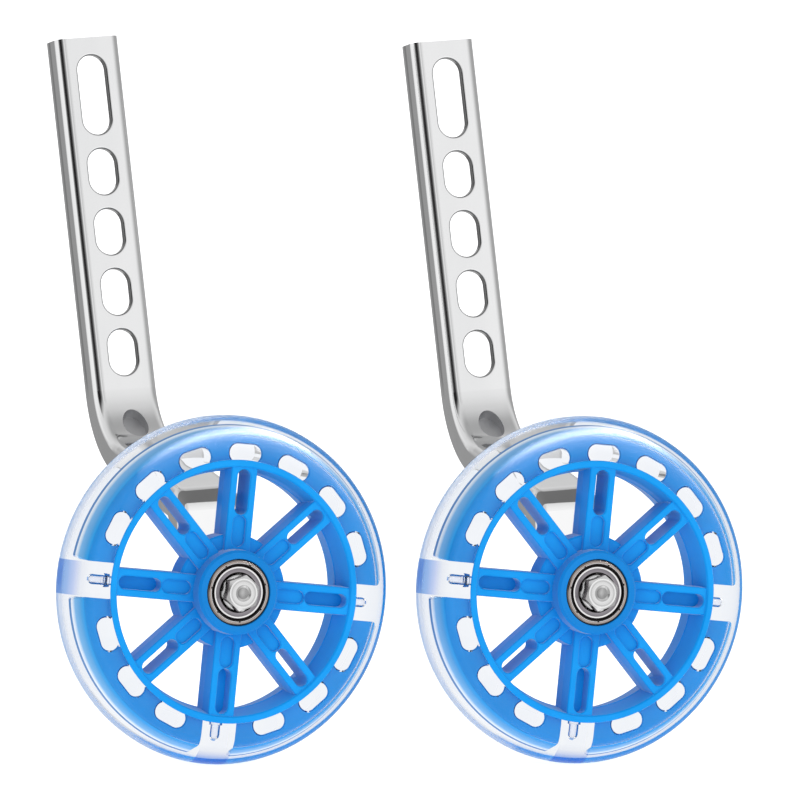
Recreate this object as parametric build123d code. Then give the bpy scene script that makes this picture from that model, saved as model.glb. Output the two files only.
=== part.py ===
from build123d import *
import math
import os

os.makedirs("parts", exist_ok=True)

# ---------------------------------------------------------------------------
# A pair of bicycle training wheels. Each unit is a pressed steel bracket with
# a slotted arm, and a light-up wheel on an M8 axle bolt with two ball bearings.
# Millimetres. Unit frame: wheel centre at the origin, axle along Y, front is -Y.
# ---------------------------------------------------------------------------

# --- pair layout
WHEEL_X = 66.2            # half the distance between the two wheel axes
WHEEL_TURN = 4.6          # how far each wheel is turned on its axle, degrees
BRACKET_TURN = -4.3       # how far each bracket is turned about the axle, degrees
Y_SHIFT = -46.3           # puts the middle of the pair's depth on the origin

# --- wheel
WHEEL_R = 60.0            # over the tread
TREAD_ARC = 10.0          # crown radius of the tread
SIDE_Y = 11.7             # half width of the tyre at the rim
RIM_R0 = 42.9             # rim barrel, inside at the front edge
RIM_RP = 41.1             # inside at the parting line
RIM_R1 = 45.2             # rim barrel, outside: the tyre is cast onto it
RIM_FRONT = -12.0
RIM_REAR = 10.0
RIM_LIP = 6.4             # rear edge of the barrel's inside face
RIM_PART_Y = -2.5         # mould parting line on the barrel
PARTING_Y = -5.5          # and on the spokes
BAND_R = (54.1, 54.6)     # blue anchor band inside the clear tyre, front and rear
BAND_Y = (-9.6, 0.2)
BAND_EDGE = 3.4           # rounded front edge of the band
WINDOW_R = (44.3, 50.4)  # oblong windows through the band, down to the barrel
WINDOW_L = 11.6
LED_GAP = 12.4            # clear gaps in the band
SPOKES = 8
SPOKE_W = 10.0            # at the parting plane
SPOKE_DRAFT = 3.0
SPOKE_FRONT = -11.2
SPOKE_REAR = 0.0
RECESS_R = (15.4, 26.2)   # shallow recess in each spoke
RECESS_W = 4.7
RECESS_D = 1.4
SLOT_R = (26.4, 42.0)     # outer slot in each spoke
SLOT_W = 4.6
POCKET_D = 5.0            # depth of the slot where a lead runs behind it
LED_POS = (90.0, 180.0, 270.0)   # clockwise from the top, seen from the front

# --- hub
BOSS_R = 14.5
HUB_FRONT = -16.5
HUB_REAR = 5.0
DISC_R = 19.7
DISC_Y = (-9.5, 0.0)
HUB_BORE = 9.6
COIL_Y = -5.75
COIL_R = 3.5
LEAD_Y = -3.9
LED_R = 1.8
LED_TIP = 50.8

# --- 608 ball bearing
BRG_OD, BRG_ID, BRG_W = 22.0, 8.0, 7.0
BRG_PITCH = 7.5
BALL_R = 1.984
RACE_R = 2.04
BALLS = 7
BRG_Y = (HUB_FRONT + BRG_W / 2, HUB_REAR - BRG_W / 2)

# --- axle
BOLT_R = 3.98
HEX_AF = 11.0
HEX_TURN = 15.0
HEAD_H = 4.5
WASHER_T = 1.0
LOCK_T = 1.8
NUT_H = 6.5
BOLT_END = 19.5

# --- bracket: channel pressed from sheet, given by its front face in the Y-Z plane
SHEET = 2.5
CH_W = 23.0               # channel width
CH_D = 11.4               # channel depth over the flanges
CH_R = 3.4                # outside corner
PLATE_Y = HUB_REAR + WASHER_T
LEAN = 10.0               # the arm leans back from the wheel plane
RISE = 13.0               # the middle run rises towards the arm
ARM_Y60 = 80.1            # arm face at 60 mm above the axle
ARM_TOP = 187.6
BEND2_R = 8.0
BEND2_Z = 27.3
BEND1_R = 22.0
TONGUE_R = 9.8            # rounded end round the axle
TONGUE_TOP = 15.0
SLOT_HOLE_W = 10.5
SLOT_CENTRES = (167.5, 140.7, 119.7, 98.7, 77.6)
SLOT_LENS = (27.7, 16.0, 16.0, 16.0, 16.0)
CUP_W, CUP_L = 8.8, 12.6  # oblong blind cup pressed into the upper bend
CUP_ANG = -46.0
CUP_D = 3.4
EDGE_R = 0.7              # rolled edges of the slots
BACK_R = 0.9              # rolled back edges of the flanges


def sind(a):
    return math.sin(math.radians(a))


def cosd(a):
    return math.cos(math.radians(a))


def turned(pts):
    """Solid of revolution about the axle from (radius, y) points."""
    return revolve(make_face(Polyline(*pts, close=True)), Axis.Y)


def tube(r0, r1, y0, y1):
    return turned([(r0, y0), (r1, y0), (r1, y1), (r0, y1)])


def disc(r, y0, y1):
    return turned([(0, y0), (r, y0), (r, y1), (0, y1)])


def at_clock(deg, shape):
    """Turn a piece built at 12 o'clock clockwise, seen from the front."""
    return Rot(0, deg, 0) * shape


def front_plane(y):
    """Sketch plane at height y: local x = X, local y = Z, outward = -Y."""
    return Plane(origin=(0, y, 0), x_dir=(1, 0, 0), z_dir=(0, -1, 0))


def rear_plane(y):
    return Plane(origin=(0, y, 0), x_dir=(-1, 0, 0), z_dir=(0, 1, 0))


def radial_rod(r, z0, z1, x=0.0, y=0.0):
    """Cylinder along +Z, the radial direction at 12 o'clock."""
    return Pos(x, y, (z0 + z1) / 2) * Cylinder(r, z1 - z0)


# ---------------------------------------------------------------------------
# wheel core: rim barrel, anchor band, spokes and hub in one moulding
# ---------------------------------------------------------------------------
def make_core():
    barrel = turned([
        (RIM_R0 + 0.3, RIM_FRONT), (RIM_R1 - 0.3, RIM_FRONT), (RIM_R1, RIM_FRONT + 0.3),
        (RIM_R1, RIM_REAR - 0.4), (RIM_R1 - 0.4, RIM_REAR), (RIM_R1 - 1.2, RIM_REAR),
        (RIM_RP + 1.1, RIM_LIP), (RIM_RP + 0.45, RIM_LIP), (RIM_RP - 0.25, RIM_PART_Y + 0.15),
        (RIM_RP, RIM_PART_Y), (RIM_R0 - 0.15, RIM_FRONT + 0.5)])
    b0, b1 = BAND_R
    f0, f1 = BAND_Y
    e = BAND_EDGE
    band = revolve(make_face([
        Line((RIM_R1 - 1.0, f0), (b0 - e, f0)),
        ThreePointArc((b0 - e, f0), (b0 - e + e * sind(45), f0 + e - e * cosd(45)), (b0, f0 + e)),
        Line((b0, f0 + e), (b1, f1 - 0.3)), Line((b1, f1 - 0.3), (b1 - 0.3, f1)),
        Line((b1 - 0.3, f1), (RIM_R1 - 1.0, f1)), Line((RIM_R1 - 1.0, f1), (RIM_R1 - 1.0, f0))]), Axis.Y)
    wr, ww = sum(WINDOW_R) / 2, WINDOW_R[1] - WINDOW_R[0]
    window = extrude(front_plane(0) * Pos(0, wr) * SlotOverall(WINDOW_L, ww), 14.0, both=True)
    window = window + extrude(front_plane(f0 - 0.5) * Pos(0, wr) * SlotOverall(WINDOW_L + 2.0, ww + 2.0), -1.0, taper=45)
    g, c, top = LED_GAP / 2, 1.3, 53.9
    half = [(0, RIM_R1 - 0.8), (g, RIM_R1 - 0.8), (g, top - c)]
    gap = extrude(front_plane(0) * make_face([
        Line(half[0], half[1]), Line(half[1], half[2]),
        ThreePointArc(half[2], (g + c * (1 - cosd(45)), top - c + c * sind(45)), (g + c, top)),
        Line((g + c, top), (g + c, b1 + 2)), Line((g + c, b1 + 2), (-g - c, b1 + 2)), Line((-g - c, b1 + 2), (-g - c, top)),
        ThreePointArc((-g - c, top), (-g - c * (1 - cosd(45)), top - c + c * sind(45)), (-g, top - c)),
        Line((-g, top - c), (-g, RIM_R1 - 0.8)), Line((-g, RIM_R1 - 0.8), half[0])]), 14.0, both=True)
    cuts = []
    for k in range(16):
        a = k * 22.5
        cuts.append(at_clock(a, gap if a in LED_POS else window))
    band = band - cuts

    boss = turned([
        (0, HUB_FRONT), (BOSS_R - 0.8, HUB_FRONT), (BOSS_R, HUB_FRONT + 0.8),
        (BOSS_R + 0.25, DISC_Y[0]), (DISC_R - 0.6, DISC_Y[0]), (DISC_R, DISC_Y[0] + 0.6),
        (DISC_R, DISC_Y[1] - 0.6), (DISC_R - 0.6, DISC_Y[1]), (BOSS_R + 0.25, DISC_Y[1]),
        (BOSS_R, HUB_REAR - 0.6), (BOSS_R - 0.6, HUB_REAR), (0, HUB_REAR)])

    r0, r1 = 11.6, RIM_R1 - 0.9
    rect = Pos(0, (r0 + r1) / 2) * Rectangle(SPOKE_W, r1 - r0)
    spoke = (extrude(front_plane(PARTING_Y) * rect, PARTING_Y - SPOKE_FRONT, taper=SPOKE_DRAFT)
             + extrude(rear_plane(PARTING_Y) * rect, SPOKE_REAR - PARTING_Y, taper=SPOKE_DRAFT))
    long_edges = [e for e in spoke.edges() if abs((e @ 0.5).Y - SPOKE_FRONT) < 1e-3 and e.length > 20]
    spoke = fillet(long_edges, 0.55)
    core = barrel + band + boss + [at_clock(k * 45.0, spoke) for k in range(SPOKES)]

    def radial_slot(span, width, depth):
        mid, length = sum(span) / 2, span[1] - span[0]
        spot = Pos(0, mid) * Rot(0, 0, 90)
        rim = front_plane(SPOKE_FRONT - 0.5) * spot * SlotOverall(length + 1.8, width + 1.8)
        return (extrude(front_plane(SPOKE_FRONT - 1.0) * spot * SlotOverall(length, width), -(depth + 1.0))
                + extrude(rim, -0.9, taper=45))

    cuts = []
    for k in range(SPOKES):
        a = k * 45.0
        lit = a in LED_POS
        cuts.append(at_clock(a, radial_slot(RECESS_R, RECESS_W, RECESS_D)))
        cuts.append(at_clock(a, radial_slot(SLOT_R, SLOT_W, POCKET_D if lit else 30.0)))
        if lit:
            cuts.append(at_clock(a, radial_rod(COIL_R + 0.05, 6.0, 19.5, 0, COIL_Y)))
            cuts.append(at_clock(a, radial_rod(1.2, 19.0, 42.6, 0, LEAD_Y)))
            cuts.append(at_clock(a, radial_rod(LED_R + 0.02, 42.4, 46.0, 0, LEAD_Y)))
            cuts.append(at_clock(a, radial_rod(LED_R + 0.72, RIM_R1 - 0.4, 46.0, 0, LEAD_Y)))
    cuts.append(disc(BRG_OD / 2, HUB_FRONT - 1, HUB_FRONT + BRG_W))
    cuts.append(turned([(0, HUB_FRONT - 1), (BRG_OD / 2 + 0.65, HUB_FRONT - 1), (BRG_OD / 2 + 0.65, HUB_FRONT),
                        (BRG_OD / 2 + 0.25, HUB_FRONT + 0.9), (BRG_OD / 2, HUB_FRONT + 0.9), (0, HUB_FRONT + 0.9)]))
    cuts.append(disc(BRG_OD / 2, HUB_REAR - BRG_W, HUB_REAR + 1))
    cuts.append(disc(HUB_BORE, HUB_FRONT, HUB_REAR))
    return core - cuts


def make_led():
    """Bullet lamp: its foot in the barrel, a flange on it, a domed lens outside."""
    c = LED_TIP - LED_R
    return (radial_rod(LED_R, 42.5, c, 0, LEAD_Y) + radial_rod(LED_R + 0.7, RIM_R1 - 0.4, RIM_R1 + 0.9, 0, LEAD_Y)
            + Pos(0, LEAD_Y, c) * Sphere(LED_R))


def make_tyre(core, leds):
    """Clear tyre cast round the band: crowned tread, a crease, convex side walls."""
    c = WHEEL_R - TREAD_ARC
    cr, cy = c + TREAD_ARC * cosd(45), TREAD_ARC * sind(45)
    tread = ThreePointArc((cr, -cy), (WHEEL_R, 0), (cr, cy))
    side_r = ThreePointArc((cr, cy), (52.6, 10.55), (RIM_R1 + 0.6, SIDE_Y))
    in_r = Line((RIM_R1 + 0.6, SIDE_Y), (RIM_R1, SIDE_Y))
    bore = Line((RIM_R1, SIDE_Y), (RIM_R1, -SIDE_Y))
    in_f = Line((RIM_R1, -SIDE_Y), (RIM_R1 + 0.6, -SIDE_Y))
    side_f = ThreePointArc((RIM_R1 + 0.6, -SIDE_Y), (52.6, -10.55), (cr, -cy))
    full = revolve(make_face([tread, side_r, in_r, bore, in_f, side_f]), Axis.Y)
    body = full - core
    return body - leds


def make_coil():
    z0, z1 = 9.95, 19.3
    c = (radial_rod(2.9, z0, z1, 0, COIL_Y) + radial_rod(COIL_R, z0, z0 + 1.0, 0, COIL_Y)
         + radial_rod(COIL_R, z1 - 1.0, z1, 0, COIL_Y))
    return c


def make_leads():
    return [radial_rod(0.3, 19.55, 42.4, x, LEAD_Y) for x in (-0.5, 0.5)]


# ---------------------------------------------------------------------------
# ball bearing
# ---------------------------------------------------------------------------
def make_bearing(yc):
    h = BRG_W / 2
    race = Rot(90, 0, 0) * Torus(BRG_PITCH, RACE_R)
    outer = turned([(BRG_OD / 2 - 0.35, -h), (BRG_OD / 2, -h + 0.35), (BRG_OD / 2, h - 0.35),
                    (BRG_OD / 2 - 0.35, h), (10.0, h), (10.0, h - 0.95), (8.9, h - 0.95),
                    (8.9, -h + 0.95), (10.0, -h + 0.95), (10.0, -h)]) - race
    # small notches in the inner edge, where the shield is staked
    notch = Box(0.7, BRG_W + 1, 0.7)
    outer = outer - [at_clock(18 + i * 360.0 / 7, Pos(0, 0, 9.9) * notch) - tube(0, 9.95, -2.75, 2.75) for i in range(7)]
    inner = turned([(BRG_ID / 2 + 0.3, -h), (5.8, -h), (6.1, -h + 0.3), (6.1, h - 0.3), (5.8, h),
                    (BRG_ID / 2 + 0.3, h), (BRG_ID / 2, h - 0.3), (BRG_ID / 2, -h + 0.3)]) - race
    spots = [at_clock(i * 360.0 / BALLS, Pos(0, 0, BRG_PITCH) * Sphere(1.0)).center() for i in range(BALLS)]
    balls = [Pos(*p) * Sphere(BALL_R) for p in spots]
    cage = tube(6.9, 8.1, -2.45, 2.45) - [Pos(*p) * Sphere(BALL_R + 0.07) for p in spots]
    # dished shield: rolled rim, a groove inside it, then the flat
    face = turned([(6.75, h - 0.62), (8.75, h - 0.62), (8.75, h - 0.92), (9.97, h - 0.92), (9.97, h - 0.2),
                   (9.62, h - 0.2), (9.52, h - 0.66), (9.0, h - 0.66), (8.85, h - 0.22), (8.3, h - 0.22),
                   (8.15, h - 0.34), (6.75, h - 0.34)])
    back = Rot(180, 0, 0) * face
    move = Pos(0, yc, 0)
    return {
        "outer_ring": move * outer, "inner_ring": move * inner,
        "balls": Compound(children=[move * b for b in balls]),
        "cage": move * cage,
        "shields": Compound(children=[move * face, move * back]),
    }


# ---------------------------------------------------------------------------
# axle set
# ---------------------------------------------------------------------------
def hex_prism(y0, y1):
    return extrude(front_plane(y1) * RegularPolygon(HEX_AF / 2, 6, major_radius=False, rotation=HEX_TURN), y1 - y0)


def make_bolt():
    y0 = HUB_FRONT - HEAD_H
    r = HEX_AF / 2
    head = hex_prism(y0, HUB_FRONT) & turned([(0, y0), (r - 0.45, y0), (r + 1.4, y0 + 1.1),
                                              (r + 1.4, HUB_FRONT), (0, HUB_FRONT)])
    head = head - (Pos(0, y0 - 3.9, 0) * Sphere(4.75))
    shank = turned([(0, HUB_FRONT), (BOLT_R, HUB_FRONT), (BOLT_R, BOLT_END - 0.9),
                    (BOLT_R - 0.9, BOLT_END), (0, BOLT_END)])
    return head + shank


def make_nut():
    y0 = PLATE_Y + SHEET + LOCK_T
    y1 = y0 + NUT_H
    r = HEX_AF / 2
    lim = turned([(BOLT_R, y0), (r - 0.1, y0), (r + 1.4, y0 + 0.8), (r + 1.4, y1 - 0.8),
                  (r - 0.1, y1), (BOLT_R, y1)])
    return hex_prism(y0, y1) & lim


# ---------------------------------------------------------------------------
# bracket
# ---------------------------------------------------------------------------
UP = (sind(LEAN), cosd(LEAN))                 # along the arm, as (y, z)
RUN = (cosd(RISE), sind(RISE))                # along the middle run, to the back
M0 = (PLATE_Y + BEND2_R + BEND2_R * cosd(90 + RISE), BEND2_Z + BEND2_R * sind(90 + RISE))


def arm_point(h, n=0.0):
    """Point on the arm: h along it from the axle's height, n behind its face."""
    return (ARM_Y60 + (h - 60) * UP[0] + n * UP[1], 60 + (h - 60) * UP[1] - n * UP[0])


def corner_point():
    """Where the faces of the middle run and the arm would meet."""
    a = arm_point(60)
    # M0 + s*RUN = a + u*UP
    det = RUN[0] * (-UP[1]) - (-UP[0]) * RUN[1]
    bx, bz = a[0] - M0[0], a[1] - M0[1]
    s = (bx * (-UP[1]) - (-UP[0]) * bz) / det
    return (M0[0] + s * RUN[0], M0[1] + s * RUN[1])


V = corner_point()
TURN1 = 90 - LEAN - RISE
TAN1 = BEND1_R * math.tan(math.radians(TURN1 / 2))
A0 = (V[0] + TAN1 * UP[0], V[1] + TAN1 * UP[1])          # bend meets the arm
M1 = (V[0] - TAN1 * RUN[0], V[1] - TAN1 * RUN[1])        # bend meets the middle run
C1 = (A0[0] - BEND1_R * UP[1], A0[1] + BEND1_R * UP[0])  # centre of the upper bend


def around1(r, ang):
    return (C1[0] + r * cosd(ang), C1[1] + r * sind(ang))


def side_face(depth, z_low, low_back=None):
    """Side view of a strip of the channel: from its front face to depth behind it."""
    mid1 = -LEAN - TURN1 / 2
    top_f, top_b = arm_point(ARM_TOP), arm_point(ARM_TOP, depth)
    a_b = around1(BEND1_R + depth, -LEAN)
    m_b = around1(BEND1_R + depth, -LEAN - TURN1)
    p_low = (PLATE_Y, z_low)
    p_bend = (PLATE_Y, BEND2_Z)
    arc2_mid = (PLATE_Y + BEND2_R + BEND2_R * cosd(135 + RISE / 2), BEND2_Z + BEND2_R * sind(135 + RISE / 2))
    edges = [Line(p_low, p_bend), ThreePointArc(p_bend, arc2_mid, M0), Line(M0, M1),
             ThreePointArc(M1, around1(BEND1_R, mid1), A0), Line(A0, top_f), Line(top_f, top_b),
             Line(top_b, a_b), ThreePointArc(a_b, around1(BEND1_R + depth, mid1), m_b)]
    if depth < BEND2_R:
        r = BEND2_R - depth
        e0 = (PLATE_Y + BEND2_R + r * cosd(90 + RISE), BEND2_Z + r * sind(90 + RISE))
        e1 = (PLATE_Y + BEND2_R + r * cosd(135 + RISE / 2), BEND2_Z + r * sind(135 + RISE / 2))
        e2 = (PLATE_Y + depth, BEND2_Z)
        low = (PLATE_Y + depth, z_low)
        edges += [Line(m_b, e0), ThreePointArc(e0, e1, e2), Line(e2, low), Line(low, p_low)]
    else:
        q = (M0[0] + depth * RUN[1], M0[1] - depth * RUN[0])
        s = (PLATE_Y + depth - q[0]) / RUN[0]
        knee = (q[0] + s * RUN[0], q[1] + s * RUN[1])
        edges += [Line(m_b, knee), Line(knee, low_back), Line(low_back, p_low)]
    return Plane.YZ * make_face(edges)


def arm_plane(h):
    y, z = arm_point(h)
    return Plane(origin=(0, y, z), x_dir=(1, 0, 0), z_dir=(0, -UP[1], UP[0]))


def make_bracket():
    z_low = TONGUE_TOP - 3.0
    strip = extrude(side_face(SHEET, z_low), CH_W / 2, both=True)
    wall = extrude(side_face(CH_D, z_low, (PLATE_Y + SHEET + 0.8, z_low)), SHEET / 2, both=True)
    ch = strip
    for sx in (-1, 1):
        ch = ch + Pos(sx * (CH_W - SHEET) / 2, 0, 0) * wall

    # rounded outside corners, along the whole front face
    probe = [Vertex(0, *p) for p in ((PLATE_Y, (z_low + BEND2_Z) / 2),
             (PLATE_Y + BEND2_R + BEND2_R * cosd(135 + RISE / 2), BEND2_Z + BEND2_R * sind(135 + RISE / 2)),
             ((M0[0] + M1[0]) / 2, (M0[1] + M1[1]) / 2),
             around1(BEND1_R, -LEAN - TURN1 / 2),
             arm_point((60 + ARM_TOP) / 2 + 1.4))]
    picks = []
    for e in ch.edges():
        m = e @ 0.5
        if abs(abs(m.X) - CH_W / 2) < 1e-3 and abs((e @ 0).X - (e @ 1).X) < 1e-3:
            for v in probe:
                if math.hypot(m.Y - v.Y, m.Z - v.Z) < 2.0 and e.length > 3.0:
                    picks.append(e)
                    break
    ch = fillet(picks, CH_R)

    # the flanges' back edges are rolled too
    back = [arm_point((60 + ARM_TOP) / 2, CH_D), around1(BEND1_R + CH_D, -LEAN - TURN1 / 2)]
    picks = []
    for e in ch.edges():
        m = e @ 0.5
        if abs(abs(m.X) - CH_W / 2) < 1e-3 and e.length > 3.0 and abs((e @ 0).X - (e @ 1).X) < 1e-3:
            if any(math.hypot(m.Y - q[0], m.Z - q[1]) < 3.0 for q in back):
                picks.append(e)
    ch = fillet(picks, BACK_R)

    # slots down the arm, their front edges rolled smooth
    for c, length in zip(SLOT_CENTRES, SLOT_LENS):
        sk = arm_plane(c) * Rot(0, 0, 90) * SlotOverall(length, SLOT_HOLE_W)
        ch = ch - extrude(sk, 6.0, both=True)
    face = arm_plane(60)
    rims = []
    for e in ch.edges():
        on_face = all(abs(face.to_local_coords(e @ t).Z) < 1e-4 for t in (0, 0.3, 0.7, 1))
        if on_face and all(abs((e @ t).X) < SLOT_HOLE_W / 2 + 0.01 for t in (0, 0.5, 1)):
            if face.to_local_coords(e @ 0.5).Y < ARM_TOP - 60 - 1.0 and e.length > 5.0:
                if face.to_local_coords(e @ 0.5).Y > SLOT_CENTRES[-1] - SLOT_LENS[-1] / 2 - 61.0:
                    rims.append(e)
    ch = fillet(rims, EDGE_R)

    # blind cup pressed into the upper bend
    hp = around1(BEND1_R, CUP_ANG)
    d = (cosd(CUP_ANG), sind(CUP_ANG))
    cup = Plane(origin=(0, hp[0], hp[1]), x_dir=(1, 0, 0), z_dir=(0, d[0], d[1]))
    shell = extrude(cup.offset(0.9) * Ellipse(CUP_W / 2 + 0.9, CUP_L / 2 + 0.9), CUP_D + 0.6)
    hollow = extrude(cup.offset(-3.0) * Ellipse(CUP_W / 2, CUP_L / 2), CUP_D + 3.0)
    ch = ch + shell - hollow

    # flat tongue round the axle
    fp = front_plane(PLATE_Y + SHEET)
    flat = make_hull((Pos(0, 0) * Circle(TONGUE_R)).edges()
                     + (Pos(0, TONGUE_TOP) * Rectangle(CH_W - 3.0, 2.0)).edges())
    tongue = extrude(fp * flat, SHEET)
    ch = ch + tongue
    return ch - disc(BOLT_R + 0.25, PLATE_Y - 2, PLATE_Y + SHEET + 2)


# ---------------------------------------------------------------------------
# one unit, then the pair
# ---------------------------------------------------------------------------
core = make_core()
leds = [at_clock(a, make_led()) for a in LED_POS]
tyre = make_tyre(core, leds)
coils = [at_clock(a, make_coil()) for a in LED_POS]
leads = [at_clock(a, w) for a in LED_POS for w in make_leads()]

wheel = {
    "wheel_core": core,
    "tyre": tyre,
    "led_lamps": Compound(children=leds),
    "led_coils": Compound(children=coils),
    "led_leads": Compound(children=leads),
}
fixed = {
    "axle_bolt": make_bolt(),
    "rear_washer": tube(BOLT_R + 0.25, 7.8, HUB_REAR, HUB_REAR + WASHER_T),
    "lock_washer": tube(BOLT_R + 0.25, 7.2, PLATE_Y + SHEET, PLATE_Y + SHEET + LOCK_T),
    "axle_nut": make_nut(),
    "spacer_sleeve": tube(BRG_ID / 2, 5.8, HUB_FRONT + BRG_W, HUB_REAR - BRG_W),
    "magnet_ring": tube(5.8, 8.2, HUB_FRONT + BRG_W + 0.6, HUB_REAR - BRG_W - 0.6),
}
bracket = make_bracket()
front = make_bearing(BRG_Y[0])
rear = make_bearing(BRG_Y[1])

for side, x in (("left", -WHEEL_X), ("right", WHEEL_X)):
    place = Pos(x, Y_SHIFT, WHEEL_R)
    spun = place * Rot(0, WHEEL_TURN, 0)
    swung = place * Rot(0, BRACKET_TURN, 0)
    export_step(swung * bracket, f"parts/{side}_bracket.step")
    for name, shape in fixed.items():
        export_step(swung * shape, f"parts/{side}_{name}.step")
    for name, shape in wheel.items():
        export_step(spun * shape, f"parts/{side}_{name}.step")
    for tag, brg in (("front", front), ("rear", rear)):
        for name, shape in brg.items():
            export_step(spun * shape, f"parts/{side}_{tag}_bearing_{name}.step")
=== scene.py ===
import math

import bpy
import bmesh
from mathutils import Matrix, Vector


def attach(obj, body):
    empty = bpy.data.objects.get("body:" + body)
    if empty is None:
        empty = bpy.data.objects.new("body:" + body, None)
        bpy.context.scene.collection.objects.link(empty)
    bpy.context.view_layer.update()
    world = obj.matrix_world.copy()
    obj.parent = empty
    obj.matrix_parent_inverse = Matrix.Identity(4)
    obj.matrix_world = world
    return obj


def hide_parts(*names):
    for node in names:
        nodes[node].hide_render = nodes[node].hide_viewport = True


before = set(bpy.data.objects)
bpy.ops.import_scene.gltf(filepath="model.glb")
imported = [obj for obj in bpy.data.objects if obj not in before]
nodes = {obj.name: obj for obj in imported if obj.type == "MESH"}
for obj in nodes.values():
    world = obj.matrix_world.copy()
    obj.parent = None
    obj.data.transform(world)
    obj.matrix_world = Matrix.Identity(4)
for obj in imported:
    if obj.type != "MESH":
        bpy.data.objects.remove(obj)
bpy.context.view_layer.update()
scene = bpy.context.scene

MM = 0.001
SIDES = ("left", "right")
WHEEL_X, WHEEL_Y, WHEEL_Z = 66.2 * MM, -46.3 * MM, 60.0 * MM

# bracket, in mm from the wheel's centre: its lean to the side, and (depth, height) of three points of it
LEAN_SIDE = 4.3
BEND, CUP, ARM_FOOT = (59.27, 68.54), (74.55, 52.71), (80.93, 64.72)
ARM_LONG = 124.8         # from its foot to its top edge


# ---------------------------------------------------------------- materials

def link(tree, a, b):
    tree.links.new(a, b)


def blank(name):
    """A material with one Principled shader and object coordinates."""
    m = bpy.data.materials.new(name)
    m.use_nodes = True
    t = m.node_tree
    t.nodes.clear()
    out = t.nodes.new("ShaderNodeOutputMaterial")
    p = t.nodes.new("ShaderNodeBsdfPrincipled")
    co = t.nodes.new("ShaderNodeTexCoord")
    link(t, p.outputs["BSDF"], out.inputs["Surface"])
    return m, t, p, co


def noise(t, co, scale, detail=2.0, rough=0.5, stretch=(1.0, 1.0, 1.0), turn=(0.0, 0.0, 0.0)):
    mp = t.nodes.new("ShaderNodeMapping")
    mp.inputs["Scale"].default_value = stretch
    mp.inputs["Rotation"].default_value = turn
    link(t, co.outputs["Object"], mp.inputs["Vector"])
    n = t.nodes.new("ShaderNodeTexNoise")
    n.inputs["Scale"].default_value = scale
    n.inputs["Detail"].default_value = detail
    n.inputs["Roughness"].default_value = rough
    link(t, mp.outputs["Vector"], n.inputs["Vector"])
    return n


def ramp(t, fac, stops):
    r = t.nodes.new("ShaderNodeValToRGB")
    e = r.color_ramp.elements
    while len(e) < len(stops):
        e.new(0.5)
    for i, (pos, col) in enumerate(stops):
        e[i].position = pos
        e[i].color = (*col, 1.0)
    link(t, fac, r.inputs["Fac"])
    return r


def spread(t, fac, low, high, f0=0.3, f1=0.7):
    r = t.nodes.new("ShaderNodeMapRange")
    r.inputs["From Min"].default_value = f0
    r.inputs["From Max"].default_value = f1
    r.inputs["To Min"].default_value = low
    r.inputs["To Max"].default_value = high
    link(t, fac, r.inputs["Value"])
    return r


def bump(t, p, height, strength, distance):
    b = t.nodes.new("ShaderNodeBump")
    b.inputs["Strength"].default_value = strength
    b.inputs["Distance"].default_value = distance
    link(t, height, b.inputs["Height"])
    link(t, b.outputs["Normal"], p.inputs["Normal"])
    return b


def metal(name, low, high, rough, scale=60.0, stretch=(1.0, 1.0, 1.0), wave=0.0, wave_scale=40.0):
    m, t, p, co = blank(name)
    n = noise(t, co, scale, 3.0, 0.55, stretch)
    r = ramp(t, n.outputs["Fac"], [(0.3, low), (0.7, high)])
    link(t, r.outputs["Color"], p.inputs["Base Color"])
    p.inputs["Metallic"].default_value = 1.0
    link(t, spread(t, n.outputs["Fac"], *rough).outputs["Result"], p.inputs["Roughness"])
    if wave:
        w = noise(t, co, wave_scale, 1.0, 0.4)
        bump(t, p, w.outputs["Fac"], wave, 0.001)
    return m


def plastic(name, low, high, rough, scale=90.0, specular=0.5, grain=0.0, grain_scale=2500.0):
    m, t, p, co = blank(name)
    n = noise(t, co, scale, 3.0, 0.5)
    r = ramp(t, n.outputs["Fac"], [(0.3, low), (0.7, high)])
    link(t, r.outputs["Color"], p.inputs["Base Color"])
    link(t, spread(t, n.outputs["Fac"], *rough).outputs["Result"], p.inputs["Roughness"])
    p.inputs["Specular IOR Level"].default_value = specular
    if grain:
        g = noise(t, co, grain_scale, 2.0, 0.6)
        bump(t, p, g.outputs["Fac"], grain, 0.0002)
    return m


def calc(t, kind, a, b=None):
    n = t.nodes.new("ShaderNodeMath")
    n.operation = kind
    for i, v in enumerate((a, b)):
        if isinstance(v, (int, float)):
            n.inputs[i].default_value = v
        elif v is not None:
            link(t, v, n.inputs[i])
    return n.outputs[0]


def in_unit(t, co):
    """Place in mm from the wheel's centre, the same for both units."""
    sep = t.nodes.new("ShaderNodeSeparateXYZ")
    link(t, co.outputs["Object"], sep.inputs["Vector"])
    x = calc(t, "SUBTRACT", sep.outputs["X"], calc(t, "MULTIPLY", calc(t, "SIGN", sep.outputs["X"]), WHEEL_X))
    return (calc(t, "MULTIPLY", x, 1000.0),
            calc(t, "MULTIPLY", calc(t, "SUBTRACT", sep.outputs["Y"], WHEEL_Y), 1000.0),
            calc(t, "MULTIPLY", calc(t, "SUBTRACT", sep.outputs["Z"], WHEEL_Z), 1000.0))


def turned(t, a, b, degrees):
    """Two coordinates turned to axes at an angle."""
    c, k = math.cos(math.radians(degrees)), math.sin(math.radians(degrees))
    return (calc(t, "ADD", calc(t, "MULTIPLY", a, c), calc(t, "MULTIPLY", b, k)),
            calc(t, "SUBTRACT", calc(t, "MULTIPLY", b, c), calc(t, "MULTIPLY", a, k)))


def length(t, a, b):
    return calc(t, "SQRT", calc(t, "ADD", calc(t, "MULTIPLY", a, a), calc(t, "MULTIPLY", b, b)))


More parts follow.
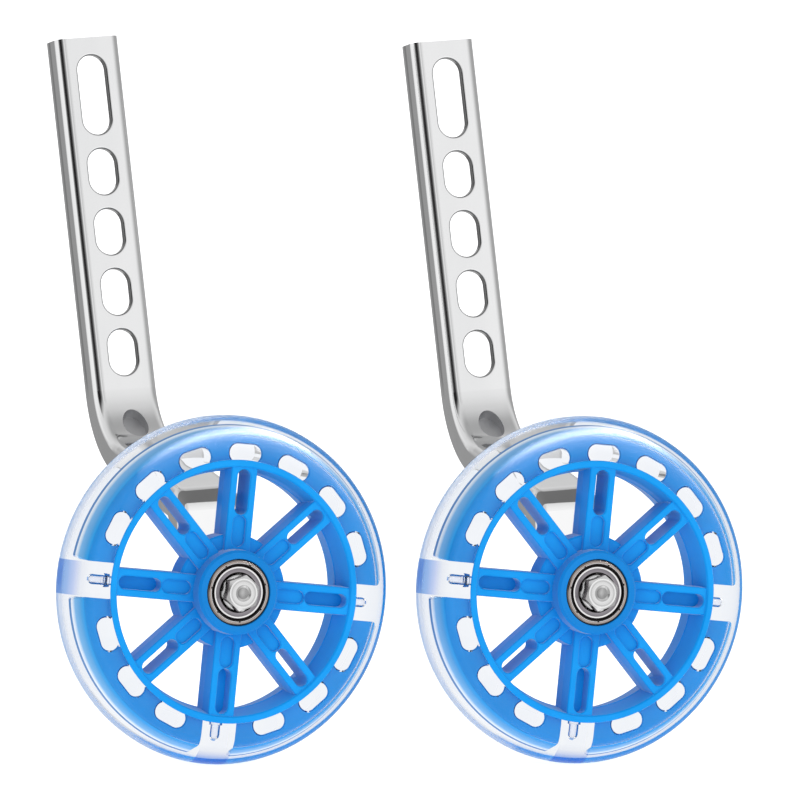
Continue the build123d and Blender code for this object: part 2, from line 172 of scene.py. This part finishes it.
def blend(t, kind, factor, a, b):
    n = t.nodes.new("ShaderNodeMix")
    n.data_type = "RGBA"
    n.blend_type = kind
    for socket, v in (("Factor", factor), ("A", a), ("B", b)):
        if isinstance(v, tuple):
            n.inputs[socket].default_value = (*v, 1.0)
        elif isinstance(v, float):
            n.inputs[socket].default_value = v
        else:
            link(t, v, n.inputs[socket])
    return n.outputs["Result"]


def around_axle(t, co):
    """Distance from the axle and depth from the wheel's middle, both in mm."""
    x, y, z = in_unit(t, co)
    return length(t, x, z), y


def ringed_light_and_shade(name, stops, rough, scale=300.0):
    """Metal whose tone goes by the distance from the axle: rings of painted highlight and painted shade."""
    m, t, p, co = blank(name)
    n = noise(t, co, scale, 3.0, 0.55)
    far, deep = around_axle(t, co)
    r = ramp(t, spread(t, far, 0.0, 1.0, 0.0, 12.0).outputs["Result"], [(mm / 12.0, col) for mm, col in stops])
    worn = t.nodes.new("ShaderNodeMix")
    worn.data_type = "RGBA"
    worn.blend_type = "MULTIPLY"
    worn.inputs["Factor"].default_value = 0.35
    shade = ramp(t, n.outputs["Fac"], [(0.3, (0.72, 0.72, 0.72)), (0.7, (1.0, 1.0, 1.0))])
    link(t, r.outputs["Color"], worn.inputs["A"])
    link(t, shade.outputs["Color"], worn.inputs["B"])
    link(t, worn.outputs["Result"], p.inputs["Base Color"])
    p.inputs["Metallic"].default_value = 1.0
    link(t, spread(t, n.outputs["Fac"], *rough).outputs["Result"], p.inputs["Roughness"])
    return m


def core_blue(name, low, high, rough, specular):
    """Moulded blue, with painted shade: darker on the hub, a dark ring in the gap round the bearing, and darker on the
    band under the tyre. The band's outer wall is bonded in the clear tyre; a painted reflection makes it paler, down to
    a painted dark line at its rear edge.
    """
    m, t, p, co = blank(name)
    n = noise(t, co, 60.0, 3.0, 0.5)
    r = ramp(t, n.outputs["Fac"], [(0.3, low), (0.7, high)])
    far, deep = around_axle(t, co)
    # painted shade: the hub darker towards the axle, fading out by about 27 mm
    hub_painted_shade = ramp(t, spread(t, far, 0.0, 1.0, 11.0, 30.0).outputs["Result"], [
        (0.16, (0.58, 0.70, 0.79)), (0.20, (0.64, 0.77, 0.87)), (0.47, (0.78, 0.87, 0.93)), (0.84, (1.0, 1.0, 1.0))])
    tone = blend(t, "MULTIPLY", 1.0, r.outputs["Color"], hub_painted_shade.outputs["Color"])
    gap = spread(t, far, 1.0, 0.0, 11.35, 11.55)                       # painted shadow: a dark ring in the gap round the bearing
    tone = blend(t, "MIX", gap.outputs["Result"], tone, (0.004, 0.012, 0.03))
    # painted shade: the band under the clear tyre darker and a little greyer
    band = spread(t, far, 0.0, 1.0, 45.1, 45.4)
    tone = blend(t, "MULTIPLY", band.outputs["Result"], tone, (0.9, 0.76, 0.80))
    # painted reflection and shade on the band's outer wall: deep blue at the front, paler towards the rear, then a dark
    # line at its rear edge
    wall = ramp(t, spread(t, deep, 0.0, 1.0, -9.0, 1.0).outputs["Result"], [
        (0.10, (0.03, 0.32, 0.72)), (0.32, (0.11, 0.38, 0.72)), (0.56, (0.19, 0.45, 0.76)), (0.68, (0.62, 0.74, 0.88)),
        (0.77, (0.84, 0.88, 0.92)), (0.80, (0.10, 0.25, 0.52)), (1.0, (0.06, 0.19, 0.46))])
    on_painted_reflection_wall = spread(t, far, 0.0, 1.0, 53.2, 53.6)
    tone = blend(t, "MIX", on_painted_reflection_wall.outputs["Result"], tone, wall.outputs["Color"])
    link(t, tone, p.inputs["Base Color"])
    link(t, spread(t, n.outputs["Fac"], *rough).outputs["Result"], p.inputs["Roughness"])
    p.inputs["Specular IOR Level"].default_value = specular
    g = noise(t, co, 2500.0, 2.0, 0.6)
    bump(t, p, g.outputs["Fac"], 0.06, 0.0002)
    return m


def bracket_steel(name, low, high, rough):
    """Plated sheet: painted shade and a rougher finish inside the pressed cup, darker on the cut edges, and darker
    stripes along the flanges.
    """
    m, t, p, co = blank(name)
    n = noise(t, co, 50.0, 3.0, 0.55, (1.0, 1.0, 0.25))
    r = ramp(t, n.outputs["Fac"], [(0.3, low), (0.7, high)])
    x, y, z = in_unit(t, co)
    x, z = turned(t, x, z, LEAN_SIDE)
    from_bend = length(t, calc(t, "SUBTRACT", y, BEND[0]), calc(t, "SUBTRACT", z, BEND[1]))
    from_cup = length(t, x, length(t, calc(t, "SUBTRACT", y, CUP[0]), calc(t, "SUBTRACT", z, CUP[1])))
    # inside the pressed cup: painted shade (darker colour) and a rougher finish
    cup_shade_and_dull = calc(t, "MULTIPLY", spread(t, from_bend, 0.0, 1.0, 22.12, 22.3).outputs["Result"],
                spread(t, from_cup, 1.0, 0.0, 7.0, 7.4).outputs["Result"])
    tone = blend(t, "MULTIPLY", cup_shade_and_dull, r.outputs["Color"], (0.74, 0.74, 0.75))
    deep, up = turned(t, calc(t, "SUBTRACT", y, ARM_FOOT[0]), calc(t, "SUBTRACT", z, ARM_FOOT[1]), -10.0)
    # darker stripes along the flanges at set depths behind the arm's front face
    lines = ramp(t, spread(t, deep, 0.0, 1.0, 0.0, 12.0).outputs["Result"], [
        (0.60, (1.0,) * 3), (0.64, (0.60,) * 3), (0.74, (0.62,) * 3), (0.78, (1.0,) * 3), (0.86, (1.0,) * 3),
        (0.89, (0.72,) * 3), (1.0, (0.66,) * 3)])
    on_arm = spread(t, up, 0.0, 1.0, -2.0, 6.0)
    tone = blend(t, "MULTIPLY", on_arm.outputs["Result"], tone, lines.outputs["Color"])
    in_sheet = calc(t, "MULTIPLY", spread(t, deep, 0.0, 1.0, 0.04, 0.14).outputs["Result"],
                    spread(t, deep, 1.0, 0.0, 2.40, 2.46).outputs["Result"])
    in_slot = calc(t, "MULTIPLY", in_sheet, spread(t, calc(t, "ABSOLUTE", x), 1.0, 0.0, 7.0, 7.5).outputs["Result"])
    # darker on the cut edges: the slot walls and the arm's top edge
    cut = calc(t, "MULTIPLY", calc(t, "MAXIMUM", in_slot, spread(t, up, 0.0, 1.0, ARM_LONG - 0.55, ARM_LONG - 0.4).outputs["Result"]),
               on_arm.outputs["Result"])
    tone = blend(t, "MULTIPLY", cut, tone, (0.30, 0.30, 0.30))
    link(t, tone, p.inputs["Base Color"])
    p.inputs["Metallic"].default_value = 1.0
    dull = calc(t, "ADD", spread(t, n.outputs["Fac"], *rough).outputs["Result"], calc(t, "MULTIPLY", cup_shade_and_dull, 0.38))
    link(t, dull, p.inputs["Roughness"])
    w = noise(t, co, 45.0, 1.0, 0.4)
    bump(t, p, w.outputs["Fac"], 0.02, 0.001)
    return m


def cast_clear(name, rough, ior, turn):
    """Cast clear plastic. The outer ends of the three lamp gaps are tinted blue: a painted reflection of the core's
    blue.
    """
    m, t, p, co = blank(name)
    x, y, z = in_unit(t, co)
    along, across = turned(t, x, z, -turn)

    def end(out, side):
        near = spread(t, calc(t, "ABSOLUTE", side), 1.0, 0.0, 5.9, 6.4)
        return calc(t, "MULTIPLY", out, near.outputs["Result"])

    out = calc(t, "MAXIMUM", end(calc(t, "MULTIPLY", along, -1.0), across), end(calc(t, "MULTIPLY", across, -1.0), along))
    # painted reflection: the clear plastic tinted blue at the outer ends of the lamp gaps
    r = ramp(t, spread(t, out, 0.0, 1.0, 53.0, 61.0).outputs["Result"], [
        (0.0, (0.975, 0.985, 1.0)), (0.25, (0.84, 0.86, 0.92)), (0.50, (0.36, 0.47, 0.86)), (0.70, (0.13, 0.28, 0.74)),
        (0.90, (0.06, 0.22, 0.68))])
    link(t, r.outputs["Color"], p.inputs["Base Color"])
    p.inputs["Transmission Weight"].default_value = 1.0
    p.inputs["IOR"].default_value = ior
    p.inputs["Specular Tint"].default_value = (0.45, 0.45, 0.47, 1.0)
    n = noise(t, co, 70.0, 2.0, 0.5)
    far, _ = around_axle(t, co)
    frost = spread(t, far, 0.0, 0.32, 58.6, 59.7)                      # the tread is scuffed
    dull = calc(t, "ADD", spread(t, n.outputs["Fac"], *rough).outputs["Result"], frost.outputs["Result"])
    link(t, dull, p.inputs["Roughness"])
    return m


def clear(name, tint, rough, ior, scale=70.0):
    m, t, p, co = blank(name)
    p.inputs["Base Color"].default_value = (*tint, 1.0)
    p.inputs["Transmission Weight"].default_value = 1.0
    p.inputs["IOR"].default_value = ior
    n = noise(t, co, scale, 2.0, 0.5)
    link(t, spread(t, n.outputs["Fac"], *rough).outputs["Result"], p.inputs["Roughness"])
    return m


STEEL = bracket_steel("bracket_steel_plated", (0.84, 0.845, 0.85), (0.90, 0.90, 0.905), (0.07, 0.12))
# painted highlight and shade on the bolt's end: a grey centre, dark rings between brighter ones
BOLT = ringed_light_and_shade("bolt_chrome", [(0.0, (0.50,) * 3), (1.9, (0.42,) * 3), (2.1, (0.78,) * 3), (2.5, (0.80,) * 3), (2.75, (0.56,) * 3),
                              (3.0, (0.78,) * 3), (3.9, (0.70,) * 3), (4.3, (0.50,) * 3), (4.7, (0.86,) * 3),
                              (6.3, (0.88,) * 3)], (0.20, 0.30))
WASHER = metal("washer_zinc", (0.60, 0.60, 0.61), (0.74, 0.74, 0.74), (0.25, 0.38), scale=260.0)
TAN, PALE_HIGHLIGHT, DARK_SHADE, BLACK_SHADE = (0.44, 0.37, 0.34), (0.85, 0.84, 0.84), (0.05, 0.045, 0.045), (0.008, 0.007, 0.007)
# painted shade and highlight on the bearing's outer ring: dark lines at its edges, a pale line inside
RING = ringed_light_and_shade("bearing_ring_ground", [(9.80, DARK_SHADE), (9.95, PALE_HIGHLIGHT), (10.12, PALE_HIGHLIGHT), (10.2, DARK_SHADE), (10.34, TAN),
                                      (10.75, (0.52, 0.46, 0.43)), (10.95, TAN), (11.0, DARK_SHADE)], (0.18, 0.28))
INNER = metal("bearing_inner_ground", (0.82, 0.82, 0.83), (0.92, 0.92, 0.92), (0.12, 0.2), scale=300.0)
BALL = metal("ball_polished", (0.72, 0.72, 0.73), (0.82, 0.82, 0.82), (0.05, 0.09), scale=500.0)
CAGE = metal("cage_pressed", (0.52, 0.50, 0.46), (0.66, 0.63, 0.58), (0.28, 0.4), scale=400.0)
# painted shade and highlight on the shield: a black gap at its inner edge, a pale band, a black groove near its outer
# edge
SHIELD = ringed_light_and_shade("shield_pressed", [(6.7, BLACK_SHADE), (6.95, BLACK_SHADE), (7.05, (0.30, 0.28, 0.30)), (8.05, (0.22, 0.205, 0.225)),
                                   (8.2, (0.30, 0.28, 0.30)), (8.35, PALE_HIGHLIGHT), (8.75, PALE_HIGHLIGHT), (8.95, BLACK_SHADE), (9.6, BLACK_SHADE),
                                   (9.7, DARK_SHADE)], (0.16, 0.26))
MAGNET = plastic("magnet_ferrite_grey", (0.045, 0.045, 0.05), (0.09, 0.09, 0.095), (0.55, 0.75), 700.0, 0.4, 0.2)
BLUE = core_blue("core_blue_satin", (0.0, 0.275, 0.73), (0.003, 0.313, 0.81), (0.30, 0.42), 0.15)
LED = clear("led_epoxy_clear", (0.93, 0.94, 1.0), (0.10, 0.22), 1.5, 300.0)
COIL = metal("coil_copper_wound", (0.55, 0.22, 0.10), (0.85, 0.42, 0.24), (0.25, 0.4), 900.0, (1.0, 1.0, 6.0))
LEAD = metal("lead_copper", (0.70, 0.34, 0.20), (0.86, 0.46, 0.30), (0.25, 0.4), 800.0)
CLEAR = cast_clear("tyre_clear_cast", (0.0, 0.015), 1.46, 4.6)

FINISH = {
    "bracket": STEEL, "axle_bolt": BOLT, "axle_nut": BOLT, "rear_washer": WASHER, "lock_washer": WASHER,
    "spacer_sleeve": WASHER, "magnet_ring": MAGNET, "wheel_core": BLUE, "tyre": CLEAR, "led_lamps": LED,
    "led_coils": COIL, "led_leads": LEAD,
}
for end in ("front", "rear"):
    FINISH[f"{end}_bearing_outer_ring"] = RING
    FINISH[f"{end}_bearing_inner_ring"] = INNER
    FINISH[f"{end}_bearing_balls"] = BALL
    FINISH[f"{end}_bearing_cage"] = CAGE
    FINISH[f"{end}_bearing_shields"] = SHIELD
for side in SIDES:
    for name, mat in FINISH.items():
        o = nodes[f"{side}_{name}"]
        o.data.materials.clear()
        o.data.materials.append(mat)
        if name in ("led_coils", "led_leads"):
            o.visible_transmission = o.visible_glossy = False


# ---------------------------------------------------------------- clear tyre

AIR = 0.00003        # the casting shrinks off the band: a thin film of air all round it


def make_tyre(side):
    """The cast tyre: bonded to the band's outer wall, a hair clear of its face and windows so that light turns there."""
    axle = Vector((WHEEL_X if side == "right" else -WHEEL_X, WHEEL_Y, WHEEL_Z))
    bm = bmesh.new()
    bm.from_mesh(nodes[f"{side}_tyre"].data)
    bmesh.ops.remove_doubles(bm, verts=bm.verts, dist=2e-6)
    bmesh.ops.recalc_face_normals(bm, faces=bm.faces)
    bm.normal_update()
    for v in bm.verts:
        q = (v.co - axle) / MM
        bonded = 53.2 < math.hypot(q.x, q.z) < 54.9 and -8.2 < q.y < 0.15
        v.co += v.normal * (0.00006 if bonded else -AIR)
    for f in bm.faces:
        f.smooth = True
    for e in bm.edges:
        if len(e.link_faces) == 2 and e.calc_face_angle(0.0) > math.radians(24):
            e.smooth = False
    me = bpy.data.meshes.new(f"{side}_clear_tyre")
    bm.to_mesh(me)
    bm.free()
    o = bpy.data.objects.new(f"{side}_clear_tyre", me)
    scene.collection.objects.link(o)
    me.materials.append(CLEAR)
    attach(o, f"{side}_wheel")
    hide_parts(f"{side}_tyre")
    o.visible_diffuse = o.visible_shadow = False
    nodes[f"{side}_wheel_core"].visible_glossy = False
    return o


for side in SIDES:
    make_tyre(side)


# ---------------------------------------------------------------- floor and light

def make_floor():
    me = bpy.data.meshes.new("floor")
    h = 40.0
    me.from_pydata([(-h, -h, 0), (h, -h, 0), (h, h, 0), (-h, h, 0)], [], [(0, 1, 2, 3)])
    o = bpy.data.objects.new("floor", me)
    scene.collection.objects.link(o)
    o.location.z = -0.0002
    m, t, p, co = blank("floor_white")
    n = noise(t, co, 3.0, 2.0)
    r = ramp(t, n.outputs["Fac"], [(0.3, (0.92, 0.92, 0.92)), (0.7, (0.95, 0.95, 0.95))])
    link(t, r.outputs["Color"], p.inputs["Base Color"])
    p.inputs["Roughness"].default_value = 0.9
    p.inputs["Specular IOR Level"].default_value = 0.0
    p.inputs["Emission Color"].default_value = (1.0, 1.0, 1.0, 1.0)
    p.inputs["Emission Strength"].default_value = 0.55
    me.materials.append(m)
    o.visible_glossy = o.visible_transmission = False
    return o


make_floor()


def glow(name, colours, fac_of, strength):
    """A lit card: its brightness goes by place."""
    m = bpy.data.materials.new(name)
    m.use_nodes = True
    t = m.node_tree
    t.nodes.clear()
    out = t.nodes.new("ShaderNodeOutputMaterial")
    e = t.nodes.new("ShaderNodeEmission")
    co = t.nodes.new("ShaderNodeTexCoord")
    link(t, ramp(t, fac_of(t, co), colours).outputs["Color"], e.inputs["Color"])
    e.inputs["Strength"].default_value = strength
    link(t, e.outputs["Emission"], out.inputs["Surface"])
    return m


def card(name, verts, faces, mat):
    """A studio card that only reflections see."""
    me = bpy.data.meshes.new(name)
    me.from_pydata(verts, [], faces)
    me.materials.append(mat)
    o = bpy.data.objects.new(name, me)
    scene.collection.objects.link(o)
    o.visible_camera = o.visible_diffuse = o.visible_transmission = o.visible_shadow = False
    return o


def make_cards():
    """Grey cards behind each wheel keep its blue out of the chrome."""
    def by_height(t, co):
        sep = t.nodes.new("ShaderNodeSeparateXYZ")
        link(t, co.outputs["Object"], sep.inputs["Vector"])
        return sep.outputs["Z"]

    grey = glow("card_grey", [(0.07, (0.55,) * 3), (0.10, (0.17,) * 3)], by_height, 1.0)
    for side in SIDES:
        cx = WHEEL_X if side == "right" else -WHEEL_X
        rows = ((41.6, -11.0), (41.6, 12.1), (60.6, 12.1))
        n = 72
        verts = [(cx + r * MM * math.sin(2 * math.pi * i / n), WHEEL_Y + y * MM, WHEEL_Z + r * MM * math.cos(2 * math.pi * i / n))
                 for r, y in rows for i in range(n)]
        faces = [(k * n + i, k * n + (i + 1) % n, (k + 1) * n + (i + 1) % n, (k + 1) * n + i)
                 for k in range(len(rows) - 1) for i in range(n)]
        card(f"{side}_card", verts, faces, grey)


make_cards()


def make_softbox():
    """A softbox above and to the right, brighter towards its top. It lights the clear tyres alone."""
    data = bpy.data.lights.new("softbox", "AREA")
    data.shape = "RECTANGLE"
    data.size, data.size_y = 3.6, 3.2
    data.energy = 34.0 * 4.0 * data.size * data.size_y
    data.use_nodes = True
    t = data.node_tree
    e = t.nodes["Emission"]
    geo = t.nodes.new("ShaderNodeNewGeometry")
    sep = t.nodes.new("ShaderNodeSeparateXYZ")
    link(t, geo.outputs["Parametric"], sep.inputs["Vector"])
    up = ramp(t, sep.outputs["Y"], [(0.0, (0.0,) * 3), (0.22, (0.04,) * 3), (0.47, (0.15,) * 3), (0.62, (0.40,) * 3),
                                    (0.70, (0.78,) * 3), (0.76, (0.85,) * 3), (0.81, (0.70,) * 3), (0.90, (0.30,) * 3),
                                    (1.0, (0.0,) * 3)])
    across = ramp(t, sep.outputs["X"], [(0.0, (0.0,) * 3), (0.34, (1.0,) * 3), (0.85, (1.0,) * 3), (1.0, (0.0,) * 3)])
    link(t, calc(t, "MULTIPLY", up.outputs["Color"], across.outputs["Color"]), e.inputs["Strength"])
    o = bpy.data.objects.new("softbox", data)
    scene.collection.objects.link(o)
    az, el = math.radians(-35), math.radians(40)
    towards = Vector((-math.sin(az) * math.cos(el), -math.cos(az) * math.cos(el), math.sin(el)))
    o.location = towards * 2.0 + Vector((0.0, WHEEL_Y, WHEEL_Z))
    o.rotation_euler = (-towards).to_track_quat("-Z", "Y").to_euler()
    o.visible_camera = o.visible_diffuse = o.visible_transmission = False
    lit = bpy.data.collections.new("softbox_lights")
    for side in SIDES:
        lit.objects.link(bpy.data.objects[f"{side}_clear_tyre"])
    o.light_linking.receiver_collection = lit


make_softbox()


def make_world():
    """A white studio. Polished faces see a light tent with a dark gap on its left and a grey roof."""
    w = bpy.data.worlds.new("studio")
    scene.world = w
    w.use_nodes = True
    t = w.node_tree
    t.nodes.clear()
    out = t.nodes.new("ShaderNodeOutputWorld")
    co = t.nodes.new("ShaderNodeTexCoord")
    sep = t.nodes.new("ShaderNodeSeparateXYZ")
    link(t, co.outputs["Generated"], sep.inputs["Vector"])

    def math_node(op, a, b=None):
        n = t.nodes.new("ShaderNodeMath")
        n.operation = op
        for i, v in enumerate((a, b)):
            if v is None:
                continue
            if isinstance(v, (int, float)):
                n.inputs[i].default_value = v
            else:
                link(t, v, n.inputs[i])
        return n.outputs[0]

    nx = math_node("MULTIPLY", sep.outputs["X"], -1.0)
    ny = math_node("MULTIPLY", sep.outputs["Y"], -1.0)
    az = math_node("ARCTAN2", nx, ny)                       # 0 in front, towards the left positive
    turn = math_node("ADD", math_node("MULTIPLY", az, 1 / (2 * math.pi)), 0.5)
    stops = [
        (-180, 0.92), (-155, 0.66), (-120, 0.42), (-75, 0.45), (-48, 0.80), (-27, 1.12), (-10, 1.02),
        (3, 0.78), (10, 0.76), (17, 1.08), (22, 0.80), (32, 0.30), (42, 0.10), (50, 0.015), (74, 0.015),
        (81, 0.30), (88, 1.0), (138, 0.95), (150, 0.62), (158, 0.32), (169, 0.34), (174, 0.75), (180, 0.92),
    ]
    wall = ramp(t, turn, [((a + 180) / 360, (v, v, v)) for a, v in stops])
    low = ramp(t, turn, [((a + 180) / 360, (max(v, 0.48),) * 3 if 20 < a < 85 else (v, v, v)) for a, v in stops])
    wall = blend(t, "MIX", spread(t, sep.outputs["Z"], 0.0, 1.0, 0.02, 0.10).outputs["Result"], low.outputs["Color"],
                 wall.outputs["Color"])
    roof = ramp(t, sep.outputs["Z"], [(0.0, (1.0,) * 3), (0.28, (0.85,) * 3), (0.45, (0.80,) * 3), (0.60, (0.77,) * 3),
                                      (0.73, (0.69,) * 3), (0.80, (0.63,) * 3), (0.86, (0.56,) * 3), (0.93, (0.45,) * 3),
                                      (0.975, (0.40,) * 3), (1.0, (0.42,) * 3)])
    dim = t.nodes.new("ShaderNodeMix")
    dim.data_type = "RGBA"
    dim.blend_type = "MULTIPLY"
    dim.inputs["Factor"].default_value = 1.0
    link(t, wall, dim.inputs["A"])
    link(t, roof.outputs["Color"], dim.inputs["B"])
    lift = t.nodes.new("ShaderNodeMapRange")
    lift.interpolation_type = "SMOOTHSTEP"
    lift.inputs["From Min"].default_value = 0.30
    lift.inputs["From Max"].default_value = 0.70
    link(t, sep.outputs["Z"], lift.inputs["Value"])
    tent = t.nodes.new("ShaderNodeMix")
    tent.data_type = "RGBA"
    link(t, lift.outputs["Result"], tent.inputs["Factor"])
    link(t, dim.outputs["Result"], tent.inputs["A"])
    link(t, roof.outputs["Color"], tent.inputs["B"])

    fill = ramp(t, math_node("ADD", math_node("MULTIPLY", ny, 0.5), 0.5),
                [(0.0, (1.0, 1.0, 1.0)), (0.35, (0.80, 0.80, 0.82)), (0.65, (0.95, 0.95, 0.97)), (1.0, (1.42, 1.42, 1.42))])
    flank = ramp(t, math_node("ADD", math_node("MULTIPLY", nx, 0.5), 0.5),
                 [(0.5, (1.0, 1.0, 1.0)), (0.75, (0.78, 0.78, 0.78)), (1.0, (0.60, 0.60, 0.60))])
    fill = blend(t, "MULTIPLY", 1.0, fill.outputs["Color"], flank.outputs["Color"])
    path = t.nodes.new("ShaderNodeLightPath")
    seen = t.nodes.new("ShaderNodeMix")
    seen.data_type = "RGBA"
    link(t, path.outputs["Is Glossy Ray"], seen.inputs["Factor"])
    link(t, fill, seen.inputs["A"])
    link(t, tent.outputs["Result"], seen.inputs["B"])
    through = t.nodes.new("ShaderNodeMix")               # a ray bent by glass counts as glossy too
    through.data_type = "RGBA"
    link(t, path.outputs["Is Transmission Ray"], through.inputs["Factor"])
    link(t, seen.outputs["Result"], through.inputs["A"])
    through.inputs["B"].default_value = (0.91, 0.925, 0.95, 1.0)
    shown = t.nodes.new("ShaderNodeMix")
    shown.data_type = "RGBA"
    link(t, path.outputs["Is Camera Ray"], shown.inputs["Factor"])
    link(t, through.outputs["Result"], shown.inputs["A"])
    shown.inputs["B"].default_value = (1.0, 1.0, 1.0, 1.0)
    bg = t.nodes.new("ShaderNodeBackground")
    link(t, shown.outputs["Result"], bg.inputs["Color"])
    link(t, bg.outputs["Background"], out.inputs["Surface"])


make_world()


# ---------------------------------------------------------------- camera

def make_camera():
    az, el, roll = math.radians(-21.79), math.radians(2.78), math.radians(-1.30)
    aim = Vector((-0.00195, WHEEL_Y, 0.1252))
    back = Vector((math.sin(az) * math.cos(el), -math.cos(az) * math.cos(el), math.sin(el)))
    ahead = -back
    right = ahead.cross(Vector((0, 0, 1))).normalized()
    down = ahead.cross(right)
    x = right * math.cos(roll) + down * math.sin(roll)
    d = -right * math.sin(roll) + down * math.cos(roll)
    cam = bpy.data.cameras.new("camera")
    cam.sensor_width = 36.0
    cam.lens = 23314.0 / 800.0 * 36.0
    cam.clip_start, cam.clip_end = 0.5, 200.0
    o = bpy.data.objects.new("camera", cam)
    scene.collection.objects.link(o)
    m = Matrix((( x.x, -d.x, back.x), (x.y, -d.y, back.y), (x.z, -d.z, back.z))).to_4x4()
    m.translation = aim + back * 8.0
    o.matrix_world = m
    scene.camera = o


make_camera()
scene.view_settings.view_transform = "Standard"
scene.view_settings.look = "None"
